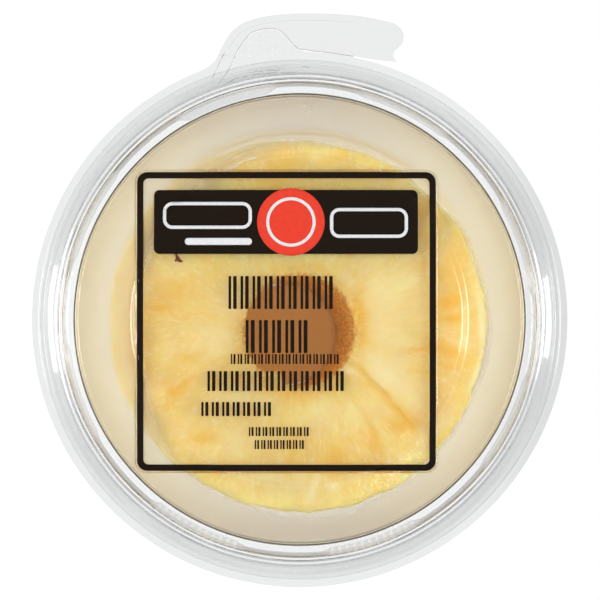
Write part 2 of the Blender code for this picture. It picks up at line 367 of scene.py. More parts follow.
def turn_angles(coarse, fine, fine_spans):
    """Angles all round, in steps of coarse degrees, and of fine degrees inside the given spans."""
    angles = []
    degree = 0.0
    while degree < 359.99:
        angles.append(math.radians(degree))
        close = any(low <= degree < high for low, high in fine_spans)
        degree = round(degree + (fine if close else coarse), 4)
    return angles


tub = formed_sheet("tub_sheet", tub_line, SHEET, turn_angles(1.2, 0.2, [(87.6, 111.6)]))
# painted shade: the outer rim and the flange are greyed
mark(tub, "grey", lambda x, y, z: smooth_step((math.hypot(x, y) - 61.5) / 3.0))
mark(tub, "thin", lambda x, y, z: 0.7 * smooth_step((58.4 - math.hypot(x, y)) / 0.8))
tub_plastic = clear_plastic("clear_tub_plastic", TUB_TINT, TUB_STEEP_TINT, grey_tint=TUB_RIM_SHADE_TINT)
tub_tree = tub_plastic.node_tree
place = add_node(tub_tree, "TexCoord")
split = add_node(tub_tree, "SeparateXYZ", {0: place.outputs["Object"]})
wet_heights = ((PANEL_TOP - WET_FADE) * MM, PANEL_TOP * MM)
wetness = level(tub_tree, split.outputs["Z"], wet_heights, WET_ROUGHNESS, PLASTIC_ROUGHNESS)
set_inputs(tub_tree, tub_tree.nodes["Principled BSDF"], {"Roughness": wetness})
tub.data.materials.append(tub_plastic)
flange_plastic = clear_plastic("clear_flange_plastic", FLANGE_SHADE_TINT, FLANGE_STEEP_TINT)
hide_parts("tub")
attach(tub, "root")


# The grip on the plate. It is a field of tiny round bosses pressed up in the tub's sheet, between the
# cut of the tear strip and the rim.
GRIP_PITCH = 1.92
GRIP_RADIUS = 0.34
GRIP_RISE = 0.07
GRIP_BOX = (-16.5, 67.0, -1.5, 72.6)
GRIP_SIDES = 10
GRIP_ROW_PITCH = 0.86


def bosses(name, spots, rise_way=1.0):
    """Small domes on a flat face. Each spot is a place, a height, a radius and a rise."""
    points, faces = [], []
    for x, y, z, radius, rise in spots:
        base = len(points)
        for ring in range(3):
            turn = math.radians(30 * ring)
            for side in range(GRIP_SIDES):
                around = 2 * math.pi * side / GRIP_SIDES
                points.append(
                    (
                        x + radius * math.cos(turn) * math.cos(around),
                        y + radius * math.cos(turn) * math.sin(around),
                        z + rise_way * rise * math.sin(turn),
                    )
                )
        points.append((x, y, z + rise_way * rise))
        crown = len(points) - 1
        floor = [base + side for side in range(GRIP_SIDES)]
        faces.append(floor[::-1] if rise_way > 0 else floor)
        for ring in range(2):
            for side in range(GRIP_SIDES):
                a = base + ring * GRIP_SIDES + side
                b = base + ring * GRIP_SIDES + (side + 1) % GRIP_SIDES
                quad = (a, b, b + GRIP_SIDES, a + GRIP_SIDES)
                faces.append(quad if rise_way > 0 else quad[::-1])
        for side in range(GRIP_SIDES):
            a = base + 2 * GRIP_SIDES + side
            b = base + 2 * GRIP_SIDES + (side + 1) % GRIP_SIDES
            faces.append((a, b, crown) if rise_way > 0 else (b, a, crown))
    return mesh_object(name, points, faces)


def on_plate(x, y):
    """Whether a boss has room at a place: on the plate, clear of its crease and its edge."""
    radius, degrees = math.hypot(x, y), math.degrees(math.atan2(y, x))
    edge = np.interp(degrees, *zip(*PLATE_EDGE))
    return FLANGE_CREASE + 1.0 < radius < edge - 0.9 and degrees < 103.2


grip_spots = []
y = GRIP_BOX[1]
while y < GRIP_BOX[3]:
    x = GRIP_BOX[0]
    while x < GRIP_BOX[2]:
        if on_plate(x, y):
            grip_spots.append((x, y, FLANGE_TOP - FLANGE_STEP + 0.01, GRIP_RADIUS, GRIP_RISE))
        x += GRIP_PITCH
    y += GRIP_PITCH * GRIP_ROW_PITCH
grip = bosses("plate_grip_bosses", grip_spots)
# The bosses get a pale, rough, half-clear plastic: a painted glint for the light that the clear bosses
# catch.
boss_glint_inputs = {"Base Color": (0.95, 0.95, 0.95, 1.0), "Roughness": 0.5, "Alpha": 0.16}
boss_glint_look = new_look("boss_painted_glint_plastic", boss_glint_inputs)[0]
grip.data.materials.append(boss_glint_look)
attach(grip, "root")


# The tear strip. It is a flat band of the same sheet, cut free of the flange along a wavy line, with a
# crease along its outer edge and a long pull tab that ends in a rounded corner and a thumb notch.
CUT_LINE = [
    (-16.5, 66.93), (-15.2, 69.2), (-13.6, 71.5), (-11.6, 73.1), (-8.7, 73.8),
    (-6.3, 73.8), (-4.6, 73.1), (-3.2, 71.8), (-1.8, 70.1), (-0.2, 68.75), (1.6, 68.45),
]
STRIP_OUTER = [
    (-20.8, 66.95), (-19.9, 69.0), (-17.8, 72.5), (-14.6, 75.2), (-10.2, 76.7), (-4.0, 77.6),
    (4.0, 77.8), (14.7, 77.2), (24.0, 75.3),
]
TAB_END = [(26.2, 73.2), (26.3, 70.5), (25.2, 69.0), (24.2, 68.1), (23.9, 66.7), (24.7, 65.3)]
TAB_INNER = [(19.5, 65.9), (13.7, 66.8), (6.7, 67.85), (3.4, 68.15)]
STRIP_ROOT = 66.94
CREASE_INSET = 1.75
CREASE_WIDTH = 0.36
CREASE_STEP = 0.36


def smooth_line(points, steps=6):
    """An open smooth line through the points."""
    padded = [points[0], *points, points[-1]]
    line = []
    for i in range(len(points) - 1):
        p0, p1, p2, p3 = (Vector(padded[i + k]) for k in range(4))
        for step in range(steps):
            t = step / steps
            bend = 2 * p0 - 5 * p1 + 4 * p2 - p3
            twist = 3 * p1 - p0 - 3 * p2 + p3
            line.append(0.5 * (2 * p1 + (p2 - p0) * t + bend * t * t + twist * t * t * t))
    line.append(Vector(points[-1]))
    return line


def inset_line(line, distance):
    """The line moved to the right of its direction."""
    moved = []
    for i, here in enumerate(line):
        way = (line[min(i + 1, len(line) - 1)] - line[max(i - 1, 0)]).normalized()
        moved.append(here + Vector((way.y, -way.x)) * distance)
    return moved


def cut_sheet(name, outline, creases, height_at, thickness):
    """A sheet cut to an outline, with its upper face at height_at(x, y), and creases inside it."""
    points = list(outline)
    edges = [(i, (i + 1) % len(outline)) for i in range(len(outline))]
    for line in creases:
        edges += [(len(points) + i, len(points) + i + 1) for i in range(len(line) - 1)]
        points += line
    flat, _, triangles, *_ = geometry.delaunay_2d_cdt(points, edges, [], 1, 0.0001)
    count = len(flat)
    heights = [height_at(x, y) for x, y in flat]
    upper = [(x, y, z) for (x, y), z in zip(flat, heights)]
    lower = [(x, y, z - thickness) for (x, y), z in zip(flat, heights)]
    faces, used = [], {}
    for a, b, c in triangles:
        ab, ac = flat[b] - flat[a], flat[c] - flat[a]
        if ab.x * ac.y - ab.y * ac.x < 0:
            b, c = c, b
        faces += [(a, b, c), (a + count, c + count, b + count)]
        for edge in ((a, b), (b, c), (c, a)):
            used[edge] = True
    faces += [(b, a, a + count, b + count) for a, b in used if (b, a) not in used]
    return mesh_object(name, upper + lower, faces, 40)


def strip_height(x, y):
    """The strip's upper face: it steps down along its outer edge and where it leaves the flange."""
    nearest = min((Vector((x, y)) - point).length for point in strip_outer)
    depth = CREASE_STEP * (1 - smooth_step((x - 17.0) / 5.0))
    lowered = depth * (1 - smooth_step((nearest - CREASE_INSET + 0.05) / CREASE_WIDTH))
    at_root = FLANGE_STEP * (1 - smooth_step((y - STRIP_ROOT) / 1.8)) * smooth_step((-14.0 - x) / 1.0)
    return FLANGE_TOP - max(lowered, at_root)


strip_outer = smooth_line(STRIP_OUTER, 8)
strip_outline = (
    strip_outer
    + smooth_line([STRIP_OUTER[-1], *TAB_END], 5)[1:]
    + smooth_line([TAB_END[-1], *TAB_INNER, CUT_LINE[-1]], 5)[1:-1]
    + smooth_line(list(reversed(CUT_LINE)), 6)
)
creases = [
    inset_line(strip_outer, CREASE_INSET + CREASE_WIDTH * share)[5:-9]
    for share in (0.0, 0.25, 0.5, 0.75, 1.0)
]
strip = cut_sheet("tear_strip_sheet", strip_outline, creases, strip_height, SHEET)
strip.data.materials.append(flange_plastic)
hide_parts("tear_strip")
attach(strip, "root")


# The burr. The knife that cut the strip free raised a fine edge along its cut, and left short broken
# marks where it ran over the rib under the lid. It is the sheet's own plastic.
BURR_RADIUS = 0.1
BURR_RISE = 0.04


def bead(name, lines, top, flat=0.5, sides=8):
    """Thin beads along lines on a face. Each line is a list of x, y and radius; top gives the height of a
    bead's upper side at a place, and flat is its height as a share of its width."""
    points, faces = [], []
    for line in lines:
        base = len(points)
        for i, (x, y, radius) in enumerate(line):
            x0, y0, _ = line[max(i - 1, 0)]
            x1, y1, _ = line[min(i + 1, len(line) - 1)]
            way = Vector((x1 - x0, y1 - y0)).normalized()
            for side in range(sides):
                turn = 2 * math.pi * side / sides
                across = radius * math.cos(turn)
                rise = flat * radius * (math.sin(turn) - 1)
                points.append((x + way.y * across, y - way.x * across, top(x, y) + rise))
        for i in range(len(line) - 1):
            for side in range(sides):
                a = base + i * sides + side
                b = base + i * sides + (side + 1) % sides
                faces.append((a, b, b + sides, a + sides))
        faces.append([base + side for side in range(sides)][::-1])
        faces.append([base + (len(line) - 1) * sides + side for side in range(sides)])
    return mesh_object(name, points, faces)


BURR_LINES = (
    [(-20.5, 59.8), (-18.6, 62.4), (-17.1, 65.4), *CUT_LINE, *reversed(TAB_INNER[1:])],
    [(-22.3, 61.0), (-21.2, 63.3), (-20.0, 65.9), (-19.1, 67.9)],
    # the short marks on the rib
    [(-18.6, 59.9), (-17.2, 60.4), (-16.6, 60.9), (-15.2, 61.2)],
    [(-14.6, 61.0), (-14.1, 61.6), (-13.5, 61.5), (-12.6, 62.0)],
    [(-13.3, 62.5), (-11.8, 62.6), (-10.9, 62.9), (-9.3, 62.8)],
    [(-12.0, 61.9), (-10.4, 62.2), (-9.2, 62.2), (-7.0, 62.5), (-5.6, 62.4)],
    [(-8.4, 63.0), (-7.2, 63.2), (-6.1, 63.1), (-4.9, 63.3)],
    [(-4.8, 62.7), (-4.2, 62.4), (-2.9, 62.6), (-2.0, 62.4), (-0.9, 62.7)],
    [(0.6, 64.0), (1.2, 64.15), (1.9, 63.95), (2.6, 63.8)],
)


def burr_top(x, y):
    """The height of the burr's upper side, a little over the face that it stands on."""
    if y > STRIP_ROOT:
        return strip_height(x, y) + BURR_RISE
    radius = math.hypot(x, y)
    if radius < TUB_RIM[-1][0]:
        return float(np.interp(radius, *zip(*TUB_RIM))) + BURR_RISE
    return FLANGE_TOP + BURR_RISE - FLANGE_STEP * smooth_step((radius - FLANGE_CREASE + 0.25) / 0.4)


burr = bead(
    "cut_burr",
    [[(point.x, point.y, BURR_RADIUS) for point in smooth_line(line, 8)] for line in BURR_LINES],
    burr_top, flat=1.0,
)
burr.data.materials.append(flange_plastic)
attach(burr, "root")


# The lid. It is formed from the same clear sheet as the tub: a raised disc, a flat panel, a ledge broken
# by eight ramps, two of them ribbed, and a crest that folds down over the tub's rim.
LUG_COUNT = 8
LUG_FIRST = 18.5
LUG_SPAN = 23.0
LUG_RUN = 3.4
RIBBED_LUGS = (5, 6)
RIB_PITCH = 1.9
RIB_RISE = 0.30
LUG_FEET = (58.4, 58.4, 57.4, 58.4, 58.4, 58.1, 58.1, 58.4)
RAMP_FOOT = 58.95
RAMP_HEAD = 59.85
LID_LINE = [
    (0.0, PANEL_TOP + DISC_RISE), (DISC_RADIUS, PANEL_TOP + DISC_RISE),
    (DISC_RADIUS + DISC_STEP, PANEL_TOP), (56.42, PANEL_TOP), (56.54, LEDGE_TOP),
    (RAMP_FOOT, LEDGE_TOP + 0.1), (RAMP_HEAD, PACK_HEIGHT - 0.5), (60.1, PACK_HEIGHT),
    (60.9, PACK_HEIGHT), (61.3, PACK_HEIGHT - 1.1), (62.1, PACK_HEIGHT - 1.25),
    (62.45, PACK_HEIGHT - 2.1), (63.8, 75.0), (64.9, 73.9), (65.9, 73.9),
]
RAMP_CORNERS = (5, 6)
WANDERING_CORNERS = range(8, 13)
CREST_STEPS = (61.12, 62.3)
LID_SHEET = 0.28
LID_WANDER = 0.14
LID_ROUNDING = (0.9, 0.9, 0.25, 0.45, 0.3, 0.4, 0.45, 0.45, 0.25, 0.4, 0.3, 0.3, 0.4)
LID_STEPS = 4
LID_TINT = (0.95, 0.955, 0.955)
LID_STEEP_TINT = (0.62, 0.625, 0.63)
# How much painted shade greys the lid's ledge, ramps and skirt, and how much painted soft-box light lifts
# it at the left and the right.
LEDGE_GREY = 0.13
RAMP_GREY = 0.40
SKIRT_GREY = 0.52
SIDE_PAINTED_LIGHT = 0.85


def lug_ramp(angle):
    """Where the ledge turns into a ramp at an angle, and how high a rib stands on the ramp."""
    pitch = 360.0 / LUG_COUNT
    turned = (math.degrees(angle) - LUG_FIRST + pitch / 2) % 360.0
    away = turned % pitch - pitch / 2
    share = smooth_step((LUG_SPAN / 2 + LUG_RUN / 2 - abs(away)) / LUG_RUN)
    index = int(turned // pitch)
    rib = 0.0
    if index in RIBBED_LUGS:
        rib = RIB_RISE * share * math.cos(2 * math.pi * away / RIB_PITCH)
    return RAMP_FOOT + (LUG_FEET[index] - RAMP_FOOT) * share, rib


def noise_round(angle, around, seed):
    """A noise that closes on itself round the pack, finer with a larger value of around."""
    return noise.noise(Vector((math.cos(angle) * around, math.sin(angle) * around, seed)))


def lid_line(angle):
    """The lid's section at an angle, with the ramp and the ribs that stand there."""
    foot, rib = lug_ramp(angle)
    corners = list(LID_LINE)
    low, high = RAMP_CORNERS
    corners[low] = (foot + rib, corners[low][1])
    corners[high] = (RAMP_HEAD, corners[high][1] - abs(rib))
    for i in WANDERING_CORNERS:
        corners[i] = (corners[i][0] + LID_WANDER * noise_round(angle, 5.0, 1.7 * i), corners[i][1])
    disc = [(r, PANEL_TOP + DISC_RISE) for r in (0.0, 15.0, 30.0)]
    return disc + rounded(corners, LID_ROUNDING, LID_STEPS)[1:]


ribbed_spans = []
for index in RIBBED_LUGS:
    middle = LUG_FIRST + 360.0 / LUG_COUNT * index
    ribbed_spans.append((middle - LUG_SPAN / 2 - LUG_RUN, middle + LUG_SPAN / 2 + LUG_RUN))
lid = formed_sheet("lid_sheet", lid_line, LID_SHEET, turn_angles(0.72, 0.25, ribbed_spans))


def lid_painted_shade(x, y, _):
    """Painted shade on the lid at a place: grey on its ramps, its crest's steps, its skirt and its ledge,
    where the clear sheet looks dark, and less grey to the left and the right, a painted light of the soft
    boxes.
    """
    radius = math.hypot(x, y)
    foot = lug_ramp(math.atan2(y, x) % (2 * math.pi))[0]
    on_ramp = smooth_step((radius - foot + 0.1) / 0.3) * smooth_step((RAMP_HEAD + 0.4 - radius) / 0.3)
    on_steps = max(math.exp(-(((radius - step) / 0.3) ** 2)) for step in CREST_STEPS)
    on_ledge = smooth_step((radius - 56.6) / 0.3) * smooth_step((foot - radius) / 0.3)
    away = max(radius, 1.0)
    streak = noise.noise(Vector((x / away * 3.0, y / away * 3.0, radius * 2.3)))
    on_skirt = smooth_step((radius - 62.4) / 0.4) * smooth_step((64.9 - radius) / 0.4)
    on_skirt *= 0.4 + 0.5 * streak
    grey = max(LEDGE_GREY * on_ledge, RAMP_GREY * on_ramp, on_steps, SKIRT_GREY * on_skirt)
    # painted light: the grey fades towards the left and the right, where the soft boxes stand
    return grey * (1.0 - SIDE_PAINTED_LIGHT * (x / away) ** 12)


mark(lid, "grey", lid_painted_shade)
mark(lid, "thin", lambda x, y, z: smooth_step((58.2 - math.hypot(x, y)) / 4.2))
lid_plastic = clear_plastic("clear_lid_plastic", LID_TINT, LID_STEEP_TINT, grey_tint=LID_STEEP_TINT)
lid.data.materials.append(lid_plastic)
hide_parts("lid")
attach(lid, "root")


# The mist under the lid. Where the fruit wets the lid the sheet is clear, and all round that patch it is
# fogged with fine condensation. Its colour is browner towards the front and the back: painted shade, as
# the soft boxes light it from the left and the right.
WET_EDGE = [
    (8, 47.8), (19, 47.0), (27, 47.5), (34, 46.6), (44, 44.7), (56, 45.7), (67, 45.2), (78, 45.0),
    (90, 45.3), (98, 45.3), (108, 45.2), (119, 44.8), (130, 43.5), (142, 43.3), (156, 42.8),
    (170, 41.5), (184, 41.4), (194, 42.1), (211, 44.4), (223, 46.8), (229, 47.6), (237, 48.2),
    (247, 48.8), (259, 49.3), (270, 50.2), (285, 50.8), (291, 49.4), (302, 49.4), (309, 48.9),
    (321, 48.1), (328, 48.4), (337, 48.1), (345, 48.8), (353, 48.7),
]
MIST_FADE = [
    (0, 1.2), (70, 1.4), (88, 3.5), (100, 5.5), (120, 6.5), (138, 6.5), (160, 4.5), (200, 3.5),
    (222, 1.6),
]
MIST_RADII = (34.0, 56.8)
MIST_ROWS = 60
MIST_STEPS = 720
MIST_BELOW_LID = 0.04
MIST_LIT_AND_SHADED_TONES = ((0.86, 0.74, 0.47), (0.53, 0.45, 0.36))
MIST_ALPHA = 0.44


def wet_edge(angle):
    """How far the wet patch reaches from the tub's axis at an angle, with its ragged edge."""
    degrees = math.degrees(angle) % 360.0
    radius = float(np.interp(degrees, *zip(*WET_EDGE), period=360.0))
    for around, size in ((7.0, 0.45), (19.0, 0.28), (52.0, 0.18)):
        radius += size * noise_round(angle, around, around)
    return radius


lid_upper = np.array(rounded(LID_LINE, LID_ROUNDING, LID_STEPS))
lid_along = np.gradient(lid_upper, axis=0)
lid_along /= np.linalg.norm(lid_along, axis=1, keepdims=True)
lid_lower = lid_upper + np.stack([lid_along[:, 1], -lid_along[:, 0]], axis=1) * LID_SHEET
inside_ledge = lid_lower[: 1 + 4 * (LID_STEPS + 1)]


def under_lid(x, y):
    """The height of the lid's lower face over a place inside its ledge."""
    return float(np.interp(math.hypot(x, y), inside_ledge[:, 0], inside_ledge[:, 1]))


mist_points, mist_faces, mist_values, mist_painted_shades = [], [], [], []
for step in range(MIST_STEPS):
    angle = 2 * math.pi * step / MIST_STEPS
    edge = wet_edge(angle)
    fade = float(np.interp(math.degrees(angle), *zip(*MIST_FADE), period=360.0))
    for radius in np.linspace(*MIST_RADII, MIST_ROWS):
        x, y = radius * math.cos(angle), radius * math.sin(angle)
        mist_points.append((x, y, under_lid(x, y) - MIST_BELOW_LID))
        mist_values.append(smooth_step((radius - edge + fade) / (fade + 1.0)))
        # painted shade: the mist darkens towards the front and the back, away from the soft boxes
        mist_painted_shades.append(math.sin(angle) ** 4)
for step in range(MIST_STEPS):
    here, there = step * MIST_ROWS, (step + 1) % MIST_STEPS * MIST_ROWS
    for row in range(MIST_ROWS - 1):
        mist_faces.append((here + row, there + row, there + row + 1, here + row + 1))
mist = mesh_object("lid_mist", mist_points, mist_faces)
write_mask(mist.data, "mist", mist_values)
write_mask(mist.data, "shade", mist_painted_shades)


def noise_at(tree, place, scale, detail=3.0, roughness=0.5):
    """The value of a noise at a place."""
    values = {"Vector": place, "Scale": scale, "Detail": detail, "Roughness": roughness}
    return add_node(tree, "TexNoise", values).outputs["Fac"]


mist_look, tree, shader = new_look("condensation", {"Roughness": 0.55, "IOR": 1.33})
place = add_node(tree, "TexCoord").outputs["Object"]
fog = combine(tree, "MULTIPLY_ADD", noise_at(tree, place, 70.0, 4.0), 0.35, mask_of(tree, "mist"))
mist_inputs = {
    "Base Color": mix_colour(tree, mask_of(tree, "shade"), *MIST_LIT_AND_SHADED_TONES),
    "Alpha": level(tree, fog, (0.30, 1.25), 0.0, MIST_ALPHA, "SMOOTHSTEP"),
}
set_inputs(tree, shader, mist_inputs)
mist.data.materials.append(mist_look)
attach(mist, "root")


# The juice under the lid. A broken bead of it stands along the edge of the wet patch, a few streaks hang
# in the patch, and a spray of fine drops hangs near the front. It clings to the lid by itself.
BEAD_BELOW_LID = 0.05
BEAD_LEAST = 0.07
STREAK_RADIUS = 0.24
STREAKS_UNDER_LID = [
    [(-52.8, -7.7), (-52.0, -11.8), (-51.2, -14.9), (-50.0, -17.4), (-48.4, -19.7)],
    [(-46.4, -2.7), (-45.4, -6.5), (-44.6, -9.3), (-44.1, -12.3), (-43.6, -14.9), (-42.1, -17.4)],
    [(-45.1, 6.5), (-44.8, 3.2), (-44.4, -0.4)],
    [(-47.8, 12.5), (-47.3, 9.0), (-46.9, 6.0)],
    [(-19.7, 37.7), (-17.2, 38.5), (-14.6, 39.4)],
    [(-18.2, 40.3), (-15.1, 41.5), (-12.1, 42.5)],
    [(-17.2, 39.0), (-13.6, 40.5), (-9.6, 41.5)],
    [(-9.6, 45.3), (-5.0, 46.4), (-0.9, 45.8), (1.6, 46.1)],
    [(4.7, 46.4), (6.7, 46.1), (8.5, 44.3)],
]
LID_UNDERSIDE = PANEL_TOP - LID_SHEET
DROP_SEED = 7
DROP_COUNT = 760
DROP_CENTRE = (25.0, -36.5)
DROP_RADIUS = (0.05, 0.15)
DROP_RISE = (0.04, 0.09)
drop_inputs = {"Base Color": (0.98, 0.95, 0.80, 1.0), "Roughness": 0.35, "IOR": 1.34, "Alpha": 0.5}
juice_drops_look = new_look("cloudy_drops", drop_inputs)[0]
meniscus_lines, line = [], []
for step in range(MIST_STEPS * 2):
    angle = math.pi * step / MIST_STEPS
    wander = noise_round(angle, 11.0, 3.0)
    fine = noise_round(angle, 60.0, 5.0)
    radius = (0.30 * max(wander, 0.0) + 0.12 * fine) * abs(math.sin(angle)) ** 1.5
    if radius > BEAD_LEAST and wet_edge(angle) > DISC_RADIUS + DISC_STEP + 0.6:
        reach = wet_edge(angle) + 0.25 * fine
        line.append((reach * math.cos(angle), reach * math.sin(angle), radius))
    else:
        meniscus_lines.append(line)
        line = []
meniscus_lines = [line for line in (*meniscus_lines, line) if len(line) > 3]
for places in STREAKS_UNDER_LID:
    smooth = smooth_line(places, 14)
    line = []
    for i, place in enumerate(smooth):
        share = i / (len(smooth) - 1)
        wobble = noise.noise(Vector((place.x * 0.8, place.y * 0.8, 2.0)))
        taper = math.sin(math.pi * min(max(share, 0.03), 0.97)) ** 0.5
        radius = STREAK_RADIUS * taper * (0.75 + 0.9 * wobble)
        line.append((place.x + 0.35 * wobble, place.y, max(radius, 0.06)))
    meniscus_lines.append(line)
meniscus = bead("juice_bead", meniscus_lines, lambda x, y: under_lid(x, y) - BEAD_BELOW_LID)
meniscus.data.materials.append(juice_drops_look)
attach(meniscus, "root")

draw = random.Random(DROP_SEED)
drop_spots = []
while len(drop_spots) < DROP_COUNT:
    along, aside = draw.gauss(0.0, 1.0), draw.gauss(0.0, 1.0)
    x = DROP_CENTRE[0] + along * 4.6 + aside * 1.5
    y = DROP_CENTRE[1] + along * 4.0 - aside * 2.0
    radius = math.hypot(x, y)
    if DISC_RADIUS + DISC_STEP + 0.3 < radius < 50.0:
        height = LID_UNDERSIDE - BEAD_BELOW_LID
    elif radius < DISC_RADIUS - 0.6:
        height = LID_UNDERSIDE + DISC_RISE - BEAD_BELOW_LID
    else:
        continue
    drop_spots.append((x, y, height, draw.uniform(*DROP_RADIUS), draw.uniform(*DROP_RISE)))
drops = bosses("lid_drops", drop_spots, -1.0)
# The fine drops glow faintly: painted light, so that they read as pale specks over the flesh.
fine_drop_glow_inputs = {
    **drop_inputs, "Base Color": (1.0, 0.93, 0.58, 1.0), "Alpha": 0.34,
    "Emission Color": (1.0, 0.88, 0.52, 1.0), "Emission Strength": 0.4,
}
fine_drops_look = new_look("fine_cloudy_drops_painted_glow", fine_drop_glow_inputs)[0]
drops.data.materials.append(fine_drops_look)
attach(drops, "root")


# The label. It is a square of thin clear film, stuck over the raised disc and pressed down over its
# edge, and printed with dark fields, plain bars and a red disc.
LABEL_CENTRE = (-3.35, -0.5)
LABEL_SIDE = 77.0
LABEL_CORNER = 3.0
FILM = 0.12
FILM_TINT = (0.985, 0.98, 0.965)
FILM_STEEP_TINT = (0.93, 0.93, 0.92)
INK = 0.03
INK_ROUGHNESS = 0.6
INK_COLOURS = {
    "dark_brown_ink": (0.010, 0.005, 0.002),
    "red_ink": (0.83, 0.055, 0.030),
    "white_ink": (0.80, 0.81, 0.84),
}
DARK_LIFT = 0.03
RED_LIFT = 0.07
WHITE_LIFT = 0.11
FRAME_LINE = 1.62
BOX_LINE = 0.85
BOX_CORNER = 2.4
RED_DISC_RADIUS = 8.6
RING_RADII = (6.3, 5.5)
BARS_OF_PAIR = ((0.14, 0.22), (0.52, 0.30))
WORD_ROWS = (
    (227, 276, 335, 309, 9), (244, 320, 310, 353, 5), (230, 354, 340, 364, 16),
    (206, 371, 346, 391, 12), (200, 402, 273, 416, 7), (248, 427, 310, 436, 9),
    (254, 440, 305, 449, 8),
)
PIXEL = 0.254
AXIS_PIXEL = (299.7, 319.5)


def film_height(x, y):
    """The height of the lid's top under the film, which runs over the disc's edge in a soft slope."""
    radius = math.hypot(x, y)
    return PANEL_TOP + 0.06 + DISC_RISE * (1 - smooth_step((radius - DISC_RADIUS - 0.3) / 2.6))


def rounded_box(x0, y0, x1, y1, corner, steps=6):
    """The outline of a box with rounded corners, anticlockwise."""
    left, right, low, high = x0 + corner, x1 - corner, y0 + corner, y1 - corner
    outline = []
    for quarter, (cx, cy) in enumerate(((right, high), (left, high), (left, low), (right, low))):
        for step in range(steps + 1):
            turn = math.radians(90 * quarter + 90 * step / steps)
            outline.append((cx + corner * math.cos(turn), cy + corner * math.sin(turn)))
    return outline


def on_lid(right, down):
    """A place on the lid, in millimetres, from its place in the frame in pixels."""
    return (right - AXIS_PIXEL[0]) * PIXEL, (AXIS_PIXEL[1] - down) * PIXEL


def from_photo_box(left, top, right, bottom):
    """A box on the lid, in millimetres, from its place in the frame in pixels."""
    return (*on_lid(left, bottom), *on_lid(right, top))


def draped(name, shapes, lift, thickness, cell=0.9):
    """Flat shapes laid over the lid. Each shape is an outline, with an optional hole inside it."""
    work = bmesh.new()
    for outline, hole in shapes:
        outer = [work.verts.new((x, y, 0.0)) for x, y in outline]
        if hole:
            inner = [work.verts.new((x, y, 0.0)) for x, y in hole]
            count = len(outer)
            for i in range(count):
                j = (i + 1) % count
                work.faces.new((outer[i], outer[j], inner[j], inner[i]))
        else:
            work.faces.new(outer)
    xs = [v.co.x for v in work.verts]
    ys = [v.co.y for v in work.verts]
    for axis, low, high in ((0, min(xs), max(xs)), (1, min(ys), max(ys))):
        step = low + cell
        while step < high:
            spot = [0.0, 0.0, 0.0]
            spot[axis] = step
            way = [0.0, 0.0, 0.0]
            way[axis] = 1.0
            everything = [*work.verts, *work.edges, *work.faces]
            bmesh.ops.bisect_plane(work, geom=everything, plane_co=spot, plane_no=way, dist=0.00001)
            step += cell
    bmesh.ops.triangulate(work, faces=work.faces)
    for vert in work.verts:
        x, y = vert.co.x, vert.co.y
        vert.co = (x * MM, y * MM, (film_height(x, y) + lift) * MM)
    work.normal_update()
    flipped = [face for face in work.faces if face.normal.z < 0]
    bmesh.ops.reverse_faces(work, faces=flipped)
    mesh = bpy.data.meshes.new(name)
    work.to_mesh(mesh)
    work.free()
    mesh.shade_smooth()
    obj = bpy.data.objects.new(name, mesh)
    scene.collection.objects.link(obj)
    thick = obj.modifiers.new("film", "SOLIDIFY")
    thick.thickness = thickness * MM
    thick.offset = 1.0
    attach(obj, "root")
    return obj


def mottle_group():
    """A group that mixes two tones by a noise. Inks, the scrap of an eye and the juice use it."""
    group = bpy.data.node_groups.new("mottle", "ShaderNodeTree")
    for name, kind in (
        ("Place", "Vector"), ("Scale", "Float"), ("Detail", "Float"),
        ("Tone", "Color"), ("Other Tone", "Color"),
    ):
        group.interface.new_socket(name, in_out="INPUT", socket_type="NodeSocket" + kind)
    group.interface.new_socket("Colour", in_out="OUTPUT", socket_type="NodeSocketColor")
    given = group.nodes.new("NodeGroupInput").outputs
    grain = noise_at(group, given["Place"], given["Scale"], given["Detail"])
    result = group.nodes.new("NodeGroupOutput")
    colour = mix_colour(group, grain, given["Tone"], given["Other Tone"])
    group.links.new(colour, result.inputs["Colour"])
    return group


MOTTLE = mottle_group()


def mottled(tree, shader, scale, detail, tone, other_tone, way="Object"):
    """Gives a shader's colour the two tones of the group."""
    inputs = {
        "Place": add_node(tree, "TexCoord").outputs[way], "Scale": scale, "Detail": detail,
        "Tone": (*tone, 1.0), "Other Tone": (*other_tone, 1.0),
    }
    node = add_node(tree, "Group", inputs, node_tree=MOTTLE)
    set_inputs(tree, shader, {"Base Color": node.outputs["Colour"]})


def ink(name):
    """Print on film: flat, slightly uneven in tone."""
    look, tree, shader = new_look(name, {"Roughness": INK_ROUGHNESS, "Specular IOR Level": 0.1})
    colour = INK_COLOURS[name]
    mottled(tree, shader, 900.0, 3.0, colour, [min(c * 1.25 + 0.002, 1.0) for c in colour])
    return look


half_label = LABEL_SIDE / 2
cx, cy = LABEL_CENTRE
film_outline = rounded_box(
    cx - half_label, cy - half_label, cx + half_label, cy + half_label, LABEL_CORNER
)
film = draped("label_film", [(film_outline, None)], 0.0, FILM)
film.data.materials.append(clear_plastic("clear_label_film", FILM_TINT, FILM_STEEP_TINT, 0.05, 1.3))
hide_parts("label")

